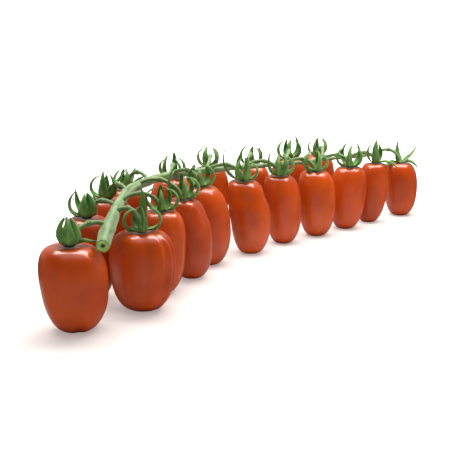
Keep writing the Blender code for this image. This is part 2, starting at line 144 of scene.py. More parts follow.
def sepal_ring(
    seed: int, first: float, count: int = 5, length: float = 20.0, rise: float = 2.0,
    curl: float = 178.0
) -> tuple:
    """Plans a regular ring of sepals with small natural differences.

    Args:
        seed: Start of the random draw, one for each calyx.
        first: Heading of the first sepal in degrees.
        count: Number of sepals.
        length: Usual length in millimetres.
        rise: Usual angle at the root in degrees.
        curl: Usual angle at the tip in degrees.

    Returns:
        The sepal plans in order round the calyx.
    """
    rng = random.Random(seed)
    ring = []
    for index in range(count):
        ring.append(SepalPlan(
            heading=first + 360.0 * index / count + rng.uniform(-9.0, 9.0),
            length=length * rng.uniform(0.90, 1.12),
            rise=rise + rng.uniform(-4.0, 8.0),
            curl=curl + rng.uniform(-20.0, 20.0),
            sway=rng.uniform(-20.0, 20.0),
            width=rng.uniform(0.90, 1.12)))
    return tuple(ring)


FRONT_ROW = (
    FruitPlan("tomato_front_01", -110.7, -37.3, 34.2, 39.1, turn=20.0, root=2.55, lean_x=-0.5,
        lean_y=0.6, bow=1.0, lobes=5, lobe_depth=0.055, squeeze=0.14, arch=4.5,
        sepals=sepal_rows((160, 21.3, 0, 200, -20), (-48, 21.3, 0, 200),
            (-128, 17.9, 4, 137, 10, 1.1), (35, 21.3, 62, 107), (88, 16.8, 22, 169)),
        creases=crease_rows((-88, 0.085, 6), (-66, 0.1, 6), (-44, 0.07, 6), (-128, 0.025, 8),
            (-172, 0.03, 9))),
    FruitPlan("tomato_front_02", -86.5, -25.0, 27.2, 43.2, turn=60.0, root=3.6, lean_x=0.3,
        lean_y=-0.4, squeeze=0.1, arch=5.0, ripeness=Ripeness.BRIGHT,
        sepals=sepal_rows((-58, 20.7, 0, 200, 0, 1.1), (125, 19, 10, 182),
            (-132, 16.8, 6, 156), (44, 17.9, 26, 160), (2, 19, 8, 177)),
        creases=crease_rows((-62, 0.03, 9), (-100, 0.02, 9))),
    FruitPlan("tomato_front_03", -57.0, -21.2, 25.6, 44.5, turn=10.0, root=5.75, lean_x=-7.4,
        lean_y=2.4, bow=1.3, waist=0.05, lobe_depth=0.04, squeeze=0.06,
        sepals=sepal_rows((130, 21.3, 34, 131), (-52, 21.3, 0, 200, 0, 1.2),
            (-122, 17.9, 4, 154), (40, 17.9, 26, 155), (-8, 19, 6, 180)),
        creases=crease_rows((-78, 0.05, 14, 0.55, 1))),
    FruitPlan("tomato_front_04", -31.6, -11.8, 27.2, 45.5, turn=80.0, root=8.15, lean_x=-4.3,
        lean_y=4.9, bow=1.8, squeeze=0.04,
        sepals=sepal_ring(41, first=-140),
        creases=crease_rows((-85, 0.03, 12, 0.5, 1.0))),
    FruitPlan("tomato_front_05", 2.3, -15.3, 25.8, 44.0, turn=35.0, root=9.65, lean_x=-4.4,
        lean_y=5.1, bow=1.8, waist=0.07, lobe_depth=0.035, ripeness=Ripeness.BRIGHT,
        sepals=sepal_rows((130, 24.6, 12, 105), (-170, 20.2, 6, 163),
            (-122, 20.2, 10, 120, -14, 1.25), (-50, 19, 0, 190), (18, 19, 16, 163),
            (74, 19, 34, 134)),
        creases=crease_rows((-90, 0.025, 12, 0.5, 1))),
    FruitPlan("tomato_front_06", 32.7, -16.1, 23.8, 42.8, turn=5.0, root=11.45, lean_x=-2.8,
        lean_y=3.2, bow=1.2,
        sepals=sepal_rows((166, 20, 8, 118), (-150, 20.2, 4, 171),
            (-110, 19, 4, 141, 0, 1.15), (-48, 20.2, 0, 190), (46, 16.8, 34, 156),
            (-6, 16.8, 20, 150))),
    FruitPlan("tomato_front_07", 60.9, -21.5, 25.0, 42.0, turn=50.0, root=12.7, lean_x=-1.9,
        lean_y=2.3, bow=1.3, ripeness=Ripeness.BRIGHT,
        sepals=sepal_ring(44, first=-119, curl=184)),
    FruitPlan("tomato_front_08", 89.0, -25.8, 24.5, 41.3, turn=25.0, root=13.65, lean_x=0.2,
        lean_y=-0.2, bow=1.8,
        sepals=sepal_ring(27, first=-150, curl=162)),
    FruitPlan("tomato_front_09", 114.6, -28.4, 21.8, 40.5, turn=70.0, root=14.65, lean_x=1.3,
        lean_y=-1.1, bow=2.2, waist=0.04, lobe_depth=0.04, arch=3.6, ripeness=Ripeness.DEEP,
        sepals=sepal_rows((-70, 15, 14, -34), (130, 17.9, 30, 148), (-150, 16.8, 60, 103),
            (40, 17.9, 30, 144), (-8, 15.7, 30, 139)),
        creases=crease_rows((-75, 0.04, 12, 0.35, 0.75))),
    FruitPlan("tomato_front_10", 145.3, -33.7, 24.1, 37.3, turn=0.0, root=16.0, lean_x=-1.7,
        lean_y=2.0, bow=0.8, lobes=5, lobe_depth=0.05, arch=3.0, ripeness=Ripeness.DEEP,
        sepals=sepal_rows((161, 13, 16, -40), (-65, 14, 14, -52), (-29, 17, 14, 66),
            (101, 16.8, 66, 111), (46, 14.6, 30, 96))),
)

BACK_ROW = (
    FruitPlan("tomato_back_01", -150.6, -34.4, 32.9, 40.0, turn=15.0, root=1.35, lean_x=-1.8,
        lean_y=2.0, bow=0.8, taper=0.2, lobes=5, arch=3.4,
        sepals=sepal_rows((-135, 17.5, 26, 148, 10, 1.5), (-86, 16.5, 26, 150, 0, 1.35),
            (-50, 11, 24, -4), (22, 15.5, 30, 148), (100, 16, 26, 150, 0, 1.15),
            (172, 17, 26, 144, 0, 1.35)),
        creases=crease_rows((-123, 0.3, 13, -0.1, 0.1), (-160, 0.025, 12), (-78, 0.03, 10),
            (-136, 0.04, 8, 0.85, 1))),
    FruitPlan("tomato_back_02", -117.6, -5.3, 29.0, 42.3, turn=40.0, root=3.15, arch=3.6,
        ripeness=Ripeness.DEEP,
        sepals=sepal_rows((131, 20, 2, 146), (-154, 16, 26, 150, 0, 1.4),
            (-92, 16, 26, 150, 0, 1.4), (-18, 15, 34, 130, 0, 1.1), (36, 15.5, 30, 150),
            (86, 16, 24, 90))),
    FruitPlan("tomato_back_03", -86.5, 13.5, 28.0, 44.0, turn=0.0, root=4.8, arch=3.6,
        sepals=sepal_rows((125, 21.3, 0, 182), (-155, 19.5, 22, 126, 0, 1.4),
            (-20, 18, 60, 52), (50, 16.8, 18, 150), (-84, 17, 24, 146, 0, 1.3))),
    FruitPlan("tomato_back_04", -58.5, 28.0, 25.0, 43.0, turn=30.0, root=6.7, arch=5.0,
        ripeness=Ripeness.DEEP,
        sepals=sepal_rows((150, 16.8, 4, 156, 0, 1.2), (10, 13, 52, 56), (-50, 13, 44, 30),
            (70, 15.7, 14, 155), (-130, 16.8, 4, 150, 0, 1.2))),
    FruitPlan("tomato_back_05", -21.0, 28.0, 28.0, 43.6, turn=65.0, root=8.05, arch=3.6,
        sepals=sepal_ring(17, first=-175, curl=164)),
    FruitPlan("tomato_back_06", 17.0, 32.0, 26.0, 44.4, turn=20.0, root=9.6,
        ripeness=Ripeness.BRIGHT,
        sepals=sepal_ring(36, first=-159, length=17.5, rise=10, curl=150)),
    FruitPlan("tomato_back_07", 46.1, 20.4, 25.0, 42.6, turn=55.0, root=11.45, arch=4.2,
        sepals=sepal_ring(52, first=-165, length=18.0, rise=8, curl=160)),
    FruitPlan("tomato_back_08", 80.0, 15.4, 26.0, 43.2, turn=75.0, root=12.65,
        ripeness=Ripeness.DEEP,
        sepals=sepal_ring(68, first=-150, curl=165)),
    FruitPlan("tomato_back_09", 111.0, 13.5, 24.0, 42.0, turn=45.0, root=13.65,
        sepals=sepal_ring(79, first=-165, length=17, curl=160)),
)

# Course of the main stem: x, y, height and thickness, cut end first
STEM_COURSE = (
    (-146.5, -48.1, 41.0, 6.0), (-135.7, -39.2, 43.5, 5.6), (-125.5, -31.3, 45.2, 5.3),
    (-112.7, -20.9, 47.0, 5.0), (-98.4, -10.1, 48.2, 4.9), (-84.2, -0.5, 49.0, 5.5),
    (-69.1, 6.5, 49.0, 5.0), (-55.8, 11.0, 49.0, 4.9), (-39.9, 13.2, 49.0, 4.4),
    (-22.4, 11.5, 48.6, 3.9), (-5.5, 8.6, 48.0, 3.6), (8.5, 7.0, 47.2, 3.1),
    (31.2, 2.7, 46.0, 2.8), (60.9, -3.5, 44.4, 2.5), (94.1, -9.4, 43.6, 2.3),
    (116.8, -14.8, 42.6, 2.1), (130.7, -18.4, 42.6, 2.0),
)


def smooth_point(points: list[Vector], place: float) -> Vector:
    """Reads a smooth curve through points.

    Args:
        points: The points that the curve passes through.
        place: Fractional index along them.

    Returns:
        The point there.
    """
    last = len(points) - 1
    place = min(max(place, 0.0), last - 1e-9)
    index = int(place)
    t = place - index
    p0 = points[max(index - 1, 0)]
    p1 = points[index]
    p2 = points[min(index + 1, last)]
    p3 = points[min(index + 2, last)]
    return 0.5 * ((2 * p1) + (p2 - p0) * t + (2 * p0 - 5 * p1 + 4 * p2 - p3) * t * t
                  + (3 * p1 - p0 - 3 * p2 + p3) * t * t * t)


def carried_sides(headings: list[Vector]) -> list[Vector]:
    """Carries a side vector along a path without twisting it.

    Args:
        headings: Unit directions along the path.

    Returns:
        A unit side vector for each of them.
    """
    side = headings[0].cross(Vector((0.0, 0.0, 1.0)))
    if side.length < 1e-3:
        side = headings[0].cross(Vector((0.0, 1.0, 0.0)))
    side.normalize()
    sides = []
    for heading in headings:
        side = side - heading * side.dot(heading)
        side.normalize()
        sides.append(side.copy())
    return sides


def placed(name: str, data: bpy.types.ID) -> bpy.types.Object:
    """Makes an object of its data and links it to the scene.

    Args:
        name: Name of the object.
        data: Its mesh, light or camera.

    Returns:
        The object.
    """
    made = bpy.data.objects.new(name, data)
    bpy.context.scene.collection.objects.link(made)
    return made


@dataclass
class MeshDraft:
    """Points, faces, finish numbers and surface marks of a mesh being made."""

    points: list = field(default_factory=list)
    faces: list = field(default_factory=list)
    finishes: list = field(default_factory=list)
    marks: list = field(default_factory=list)

    def add_point(self, point: Vector, mark: float = 0.0) -> int:
        """Adds a point with its surface mark.

        Args:
            point: Place in millimetres.
            mark: Surface mark from 0 to 1.

        Returns:
            The number of the point.
        """
        self.points.append((point + TRUSS_SHIFT) * MM)
        self.marks.append(mark)
        return len(self.points) - 1

    def add_face(self, corners: tuple, finish: int = 0) -> None:
        """Adds a face of one finish."""
        self.faces.append(corners)
        self.finishes.append(finish)

    def add_loft(self, sections: list, marks: list, finish: int = 0, close: bool = True) -> list:
        """Adds a skin through sections with the same number of points each.

        Args:
            sections: Lists of points, one list for each section.
            marks: Surface mark of each point, in lists like the sections.
            finish: Number of the finish.
            close: Whether both ends get a cap.

        Returns:
            The numbers of the points, in lists like the sections.
        """
        rows = [[self.add_point(p, m) for p, m in zip(section, row)]
                for section, row in zip(sections, marks)]
        count = len(sections[0])
        for low, high in zip(rows[:-1], rows[1:]):
            for index in range(count):
                nxt = (index + 1) % count
                self.add_face((low[index], low[nxt], high[nxt], high[index]), finish)
        if close:
            self.add_face(tuple(reversed(rows[0])), finish)
            self.add_face(tuple(rows[-1]), finish)
        return rows

    def add_hair(self, root: Vector, heading: Vector, length: float) -> None:
        """Adds one fine hair as a three-sided spike.

        Args:
            root: Where the hair grows.
            heading: Unit direction of the hair.
            length: Length in millimetres.
        """
        side = heading.cross(Vector((0.3, 0.2, 0.9))).normalized() * HAIR_RADIUS
        other = heading.cross(side).normalized() * HAIR_RADIUS
        base = root - heading * HAIR_RADIUS
        ring = [self.add_point(base + side), self.add_point(base - side * 0.5 + other),
                self.add_point(base - side * 0.5 - other)]
        tip = self.add_point(root + heading * length)
        for index in range(3):
            self.add_face((ring[index], ring[(index + 1) % 3], tip), HAIRS)

    def finished(self, name: str, materials: list) -> bpy.types.Object:
        """Makes the object.

        Args:
            name: Name of the piece.
            materials: Materials in the order of the finish numbers.

        Returns:
            The new object, linked to the scene.
        """
        mesh = bpy.data.meshes.new(name)
        mesh.from_pydata([tuple(p) for p in self.points], [], self.faces)
        for material in materials:
            mesh.materials.append(material)
        mesh.polygons.foreach_set("material_index", self.finishes)
        mesh.polygons.foreach_set("use_smooth", [True] * len(self.faces))
        mark = mesh.attributes.new("mark", "FLOAT", "POINT")
        mark.data.foreach_set("value", self.marks)
        mesh.update()
        return placed(name, mesh)


class NodeBoard:
    """Small helper that lays out and links the nodes of one material or group."""

    def __init__(self, tree: bpy.types.NodeTree) -> None:
        """Takes the tree to work on."""
        self.tree = tree
        self.column = 0

    def add(self, kind: str, feeds: dict | None = None, **values: object) -> bpy.types.Node:
        """Adds a node, sets its properties and feeds its inputs.

        Args:
            kind: Blender's type name of the node, without its first word.
            feeds: What the inputs take, by their names or numbers.
            **values: Properties of the node.

        Returns:
            The node.
        """
        node = self.tree.nodes.new("ShaderNode" + kind)
        node.location = (200 * self.column, 0)
        self.column += 1
        for key, value in values.items():
            setattr(node, key, value)
        self.feed(node, feeds or {})
        return node

    def feed(self, node: bpy.types.Node, feeds: dict) -> None:
        """Links inputs to sockets or sets them to constants.

        Args:
            node: The node whose inputs are fed.
            feeds: A socket or a constant for each name or number of an input.
        """
        for key, value in feeds.items():
            if isinstance(value, bpy.types.NodeSocket):
                self.tree.links.new(value, node.inputs[key])
            else:
                node.inputs[key].default_value = value

    def ramp(self, source: bpy.types.NodeSocket, stops: list) -> bpy.types.NodeSocket:
        """Adds a colour ramp.

        Args:
            source: The value that drives the ramp.
            stops: Pairs of position and grey value or colour.

        Returns:
            The ramp's colour socket.
        """
        node = self.add("ValToRGB", {"Fac": source})
        elements = node.color_ramp.elements
        while len(elements) < len(stops):
            elements.new(0.5)
        for element, (place, tone) in zip(elements, stops):
            element.position = place
            colour = (tone, tone, tone) if isinstance(tone, float) else tone
            element.color = (*colour, 1.0)
        return node.outputs["Color"]

    def mix(self, factor: object, first: object, second: object) -> bpy.types.NodeSocket:
        """Mixes two colours.

        Args:
            factor: Share of the second one, a socket or a number.
            first: A colour, as a socket or a tuple.
            second: The other colour.

        Returns:
            The mixed colour's socket.
        """
        first, second = ((*tone, 1.0) if isinstance(tone, tuple) else tone
                         for tone in (first, second))
        return self.add("Mix", {0: factor, 6: first, 7: second}, data_type="RGBA").outputs[2]


def mottle_group() -> bpy.types.NodeTree:
    """Makes the group for the blotches and specks that all living tissue has here.

    Returns:
        A group with Blotch Scale, Speck Scale and Speck Amount in, and Blotch,
        Speck and Relief out.
    """
    group = bpy.data.node_groups.new("tissue_mottle", "ShaderNodeTree")
    for name, value in (("Blotch Scale", 60.0), ("Speck Scale", 900.0), ("Speck Amount", 0.5)):
        socket = group.interface.new_socket(name, in_out="INPUT", socket_type="NodeSocketFloat")
        socket.default_value = value
    for name in ("Blotch", "Speck", "Relief"):
        group.interface.new_socket(name, in_out="OUTPUT", socket_type="NodeSocketFloat")
    board = NodeBoard(group)
    entry = group.nodes.new("NodeGroupInput").outputs
    place = board.add("TexCoord").outputs["Object"]
    blotch = board.add("TexNoise", {"Vector": place, "Scale": entry["Blotch Scale"],
                                    "Detail": 3.0}).outputs["Fac"]
    speck = board.add("TexNoise", {"Vector": place, "Scale": entry["Speck Scale"],
                                   "Detail": 1.0}).outputs["Fac"]
    peaks = board.add("MapRange", {"Value": speck, "From Min": SPECK_RANGE[0],
                                   "From Max": SPECK_RANGE[1]})
    amount = board.add("Math", {0: peaks.outputs["Result"], 1: entry["Speck Amount"]},
                       operation="MULTIPLY")
    relief = board.add("Math", {0: speck, 1: SPECK_RELIEF, 2: blotch}, operation="MULTIPLY_ADD")
    board.feed(group.nodes.new("NodeGroupOutput"), {
        "Blotch": blotch, "Speck": amount.outputs["Value"], "Relief": relief.outputs["Value"]})
    return group


@dataclass(frozen=True)
class TissueFinish:
    """Finish of one kind of living tissue.

    base, deep and pale: colours. rough: roughness. mark_tone: colour where the
    surface mark is 1. bump: height of the fine relief in metres.
    """

    name: str
    base: tuple
    deep: tuple
    pale: tuple
    rough: float
    coat: float
    blotch_scale: float
    speck_scale: float
    speck_amount: float
    bump: float
    mark_tone: tuple
    mark_share: float
    coat_rough: float = 0.1
    bleed: float = 0.0
    bleed_reach: tuple = (1.0, 0.3, 0.1)
    bleed_depth: float = 0.003
    fuzz: float = 0.0
    fuzz_rough: float = 0.4
    gloss: float = 0.5
    rough_spread: float = 0.15
    bump_strength: float = 0.6
    deep_until: float = 0.34
    base_from: float = 0.62

    def made(self, mottle: bpy.types.NodeTree) -> bpy.types.Material:
        """Makes the material.

        Args:
            mottle: The shared group for blotches and specks.

        Returns:
            The material.
        """
        material = bpy.data.materials.new(self.name)
        material.use_nodes = True
        material.diffuse_color = (*self.base, 1.0)
        board = NodeBoard(material.node_tree)
        cover = board.add("Group", node_tree=mottle)
        board.feed(cover, {"Blotch Scale": self.blotch_scale, "Speck Scale": self.speck_scale,
                           "Speck Amount": self.speck_amount})
        blotch = cover.outputs["Blotch"]
        tone = board.ramp(blotch, [(self.deep_until, self.deep), (self.base_from, self.base)])
        tone = board.mix(cover.outputs["Speck"], tone, self.pale)
        mark = board.add("Attribute", attribute_name="mark").outputs["Fac"]
        share = board.add("Math", {0: mark, 1: self.mark_share}, operation="MULTIPLY")
        rough = board.add("MapRange", {
            "Value": blotch, "To Min": self.rough * (1.0 - self.rough_spread),
            "To Max": self.rough * (1.0 + self.rough_spread)})
        bump = board.add("Bump", {"Strength": self.bump_strength, "Distance": self.bump,
                                  "Height": cover.outputs["Relief"]})
        board.feed(material.node_tree.nodes["Principled BSDF"], {
            "Base Color": board.mix(share.outputs["Value"], tone, self.mark_tone),
            "Roughness": rough.outputs["Result"], "Normal": bump.outputs["Normal"],
            "Coat Weight": self.coat, "Coat Roughness": self.coat_rough,
            "Specular IOR Level": self.gloss, "Sheen Weight": self.fuzz,
            "Sheen Roughness": self.fuzz_rough, "Subsurface Weight": self.bleed,
            "Subsurface Radius": self.bleed_reach, "Subsurface Scale": self.bleed_depth})
        return material


SKIN_FULL = TissueFinish(
    name="tomato_skin_full", base=(0.465, 0.054, 0.0004), deep=(0.350, 0.036, 0.0004),
    pale=(0.46, 0.085, 0.012), rough=0.31, coat=0.60, coat_rough=0.15, blotch_scale=55.0,
    speck_scale=1500.0, speck_amount=0.2, bump=0.00005, mark_tone=(0.30, 0.036, 0.001),
    mark_share=0.5, bleed=0.04, bleed_reach=(1.0, 0.15, 0.03), gloss=0.42)
SKIN_BRIGHT = replace(SKIN_FULL, name="tomato_skin_bright", base=(0.485, 0.060, 0.0004),
                      deep=(0.375, 0.042, 0.0004))
SKIN_DEEP = replace(SKIN_FULL, name="tomato_skin_deep", base=(0.410, 0.047, 0.0004),
                    deep=(0.310, 0.031, 0.0004))
SEPAL_GREEN = TissueFinish(
    name="calyx_sepal", base=(0.098, 0.225, 0.040), deep=(0.038, 0.110, 0.018),
    pale=(0.14, 0.25, 0.08), rough=0.60, coat=0.0, blotch_scale=160.0, speck_scale=1400.0,
    speck_amount=0.35, bump=0.00012, mark_tone=(0.17, 0.31, 0.095), mark_share=0.7, fuzz=0.12,
    bleed=0.05, bleed_reach=(0.4, 1.0, 0.2), gloss=0.35)
# The stalk and stem paint mark_tone, a paler green, along their ridge crests: a painted highlight
# on the ridges.
STALK_GREEN = TissueFinish(
    name="fruit_stalk", base=(0.105, 0.210, 0.058), deep=(0.052, 0.120, 0.030),
    pale=(0.22, 0.33, 0.14), rough=0.62, coat=0.0, blotch_scale=200.0, speck_scale=1500.0,
    speck_amount=0.4, bump=0.00012, mark_tone=(0.20, 0.31, 0.125), mark_share=0.6, fuzz=0.15)
STEM_GREEN = replace(
    STALK_GREEN, name="main_stem", base=(0.125, 0.218, 0.078), deep=(0.055, 0.115, 0.032),
    pale=(0.30, 0.40, 0.21), blotch_scale=190.0, speck_scale=1300.0, speck_amount=0.45,
    bump=0.00016, mark_tone=(0.30, 0.41, 0.215), mark_share=0.65, fuzz=0.2)
CUT_FLESH = TissueFinish(
    name="cut_stem_flesh", base=(0.36, 0.50, 0.12), deep=(0.25, 0.38, 0.07),
    pale=(0.60, 0.68, 0.32), rough=0.40, coat=0.25, blotch_scale=500.0, speck_scale=2200.0,
    speck_amount=0.5, bump=0.00015, mark_tone=(0.10, 0.20, 0.05), mark_share=0.9)
HAIR_FINISH = TissueFinish(
    name="fine_hairs", base=(0.42, 0.52, 0.34), deep=(0.34, 0.44, 0.26),
    pale=(0.60, 0.66, 0.50), rough=0.5, coat=0.0, blotch_scale=300.0, speck_scale=2000.0,
    speck_amount=0.2, bump=0.00002, mark_tone=(0.42, 0.52, 0.34), mark_share=0.0)


@dataclass
class Finishes:
    """All materials of the truss, made once."""

    mottle: bpy.types.NodeTree = field(default_factory=mottle_group)
    skins: dict = field(default_factory=dict)
    sepal: bpy.types.Material = None
    stalk: bpy.types.Material = None
    stem: bpy.types.Material = None
    cut: bpy.types.Material = None
    hair: bpy.types.Material = None

    def __post_init__(self) -> None:
        """Makes every material."""
        skins = {Ripeness.FULL: SKIN_FULL, Ripeness.BRIGHT: SKIN_BRIGHT, Ripeness.DEEP: SKIN_DEEP}
        self.skins = {ripeness: finish.made(self.mottle) for ripeness, finish in skins.items()}
        self.sepal = SEPAL_GREEN.made(self.mottle)
        self.stalk = STALK_GREEN.made(self.mottle)
        self.stem = STEM_GREEN.made(self.mottle)
        self.cut = CUT_FLESH.made(self.mottle)
        self.hair = HAIR_FINISH.made(self.mottle)


@dataclass
class Tomato:
    """One fruit: a lobed, tapering body with a hollow on top and a flat rest spot."""

    plan: FruitPlan
    shoulder_squareness: float = 0.48
    foot_squareness: float = 0.60
    end_flatness: float = 0.80
    hollow_depth: float = 1.9
    hollow_radius: float = 4.6
    rest_spot_drop: float = 0.35
    squeeze_heading: float = 24.0
    bow_heading: float = 130.0
    rings: int = 64
    sides: int = 112
    first_ring: float = 0.055
    wave: float = 0.004
    waist_level: float = 0.78
    waist_reach: float = 0.10
    crease_fade: float = 0.06
    seat_ring: float = 0.935
    seat_points: int = 15
    hub_reach: float = 2.5
    mark_reach: float = 0.10
    taper_power: float = 1.5
    lobe_mean: float = 0.62
    waves: tuple = ((2, 5.0), (3, 8.0), (5, 6.0), (7, 11.0))

    def skin(self, up: np.ndarray, around: np.ndarray, fine: bool = True) -> np.ndarray:
        """Works out points of the skin.

        Args:
            up: Places from 0 at the blossom end to 1 at the stalk.
            around: Directions in radians, with the same shape.
            fine: Whether furrows and waves too small for the plan are added.

        Returns:
            Points in millimetres, with a last axis of three.
        """
        plan = self.plan
        angle = np.pi * up
        power = np.where(up > 0.5, self.shoulder_squareness, self.foot_squareness)
        reach = np.maximum(np.sin(angle), 0.0) ** power
        lift = np.cos(angle)
        level = 0.5 - 0.5 * np.sign(lift) * np.abs(lift) ** self.end_flatness
        reach = reach * (1.0 - plan.taper * (1.0 - level) ** self.taper_power)
        reach = reach * (1.0 - plan.waist * np.exp(
            -((level - self.waist_level) / self.waist_reach) ** 2))
        shoulder = 0.35 + 0.65 * level
        lobe = 0.5 - 0.5 * np.cos(plan.lobes * (around - math.radians(plan.turn)))
        reach = reach * (1.0 + plan.lobe_depth * shoulder * (lobe - self.lobe_mean))
        facing = np.cos(around - math.radians(self.squeeze_heading))
        reach = reach * (1.0 - plan.squeeze * facing * facing)
        if fine:
            reach = reach * self.furrows(level, around)
        radius = 0.5 * plan.width * reach
        z = (plan.height + self.rest_spot_drop) * level - self.rest_spot_drop
        hollow = self.hollow_depth * np.exp(-(radius / self.hollow_radius) ** 2)
        z = np.where(up > 0.5, z - hollow, z)
        z = np.maximum(z, 0.0)
        axis_x, axis_y = self.axis(z)
        return np.stack([axis_x + radius * np.cos(around), axis_y + radius * np.sin(around), z],
                        axis=-1)

    def axis(self, z: np.ndarray) -> tuple:
        """Works out the leaning, bowed middle line.

        Args:
            z: Heights in millimetres.

        Returns:
            The places of the line along X and along Y at these heights.
        """
        plan = self.plan
        level = np.clip(z / plan.height, 0.0, 1.0)
        lean = level ** 2
        bow = plan.bow * (1.0 - level) ** 2
        heading = math.radians(self.bow_heading)
        return (plan.x + plan.lean_x * lean + bow * math.cos(heading),
                plan.y + plan.lean_y * lean + bow * math.sin(heading))

    def furrows(self, level: np.ndarray, around: np.ndarray) -> np.ndarray:
        """Works out how far furrows and soft waves pull the skin in.

        Args:
            level: Height share from 0 to 1.
            around: Directions in radians.

        Returns:
            Factors for the radius.
        """
        factor = np.ones_like(level)
        seed = sum(ord(letter) for letter in self.plan.name)
        for index, (turns, rise) in enumerate(self.waves):
            phase = seed * (index + 1) * 0.7
            factor += self.wave / (1 + 0.4 * index) * np.sin(
                turns * around + rise * level + phase)
        for crease in self.plan.creases:
            away = np.angle(np.exp(1j * (around - math.radians(crease.heading))))
            ditch = np.exp(-(away / math.radians(crease.spread)) ** 2)
            low = 1.0 / (1.0 + np.exp(-(level - crease.low) / self.crease_fade))
            high = 1.0 / (1.0 + np.exp((level - crease.high) / self.crease_fade))
            factor -= crease.depth * ditch * low * high
        return factor

    def point(self, up: float, around: float) -> Vector:
        """Gives one point of the plain skin without furrows."""
        place = self.skin(np.array([up]), np.array([around]), fine=False)[0]
        return Vector(place.tolist())

    def seat(self) -> Vector:
        """Finds the place where the calyx sits in the hollow.

        Returns:
            A point at which the hub clears the skin around it.
        """
        top = self.point(1.0, 0.0)
        highest = top.z
        for index in range(self.seat_points):
            edge = self.point(self.seat_ring, FULL_TURN * index / self.seat_points)
            spread = math.hypot(edge.x - top.x, edge.y - top.y)
            highest = max(highest, top.z + (edge.z - top.z) * self.hub_reach / spread)
        return Vector((top.x, top.y, highest))

    def built(self, finishes: Finishes) -> bpy.types.Object:
        """Builds and dresses the fruit.

        Args:
            finishes: The materials.

        Returns:
            The piece.
        """
        up = np.linspace(self.first_ring, 1.0, self.rings + 1)[:-1]
        around = np.linspace(0.0, FULL_TURN, self.sides, endpoint=False)
        grid_up, grid_around = np.meshgrid(up, around, indexing="ij")
        points = self.skin(grid_up, grid_around)
        points[0, :, 2] = 0.0
        draft = MeshDraft()
        sections = [[Vector(place.tolist()) for place in ring] for ring in points]
        marks = [[max(0.0, 1.0 - (1.0 - place) / self.mark_reach)] * self.sides for place in up]
        rows = draft.add_loft(sections, marks, close=False)
        draft.add_face(tuple(reversed(rows[0])))
        pole = draft.add_point(self.point(1.0, 0.0), 1.0)
        for index in range(self.sides):
            draft.add_face((rows[-1][index], rows[-1][(index + 1) % self.sides], pole))
        piece = draft.finished("fine_" + self.plan.name, [finishes.skins[self.plan.ripeness]])
        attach(piece, "root")
        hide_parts(self.plan.name)
        return piece


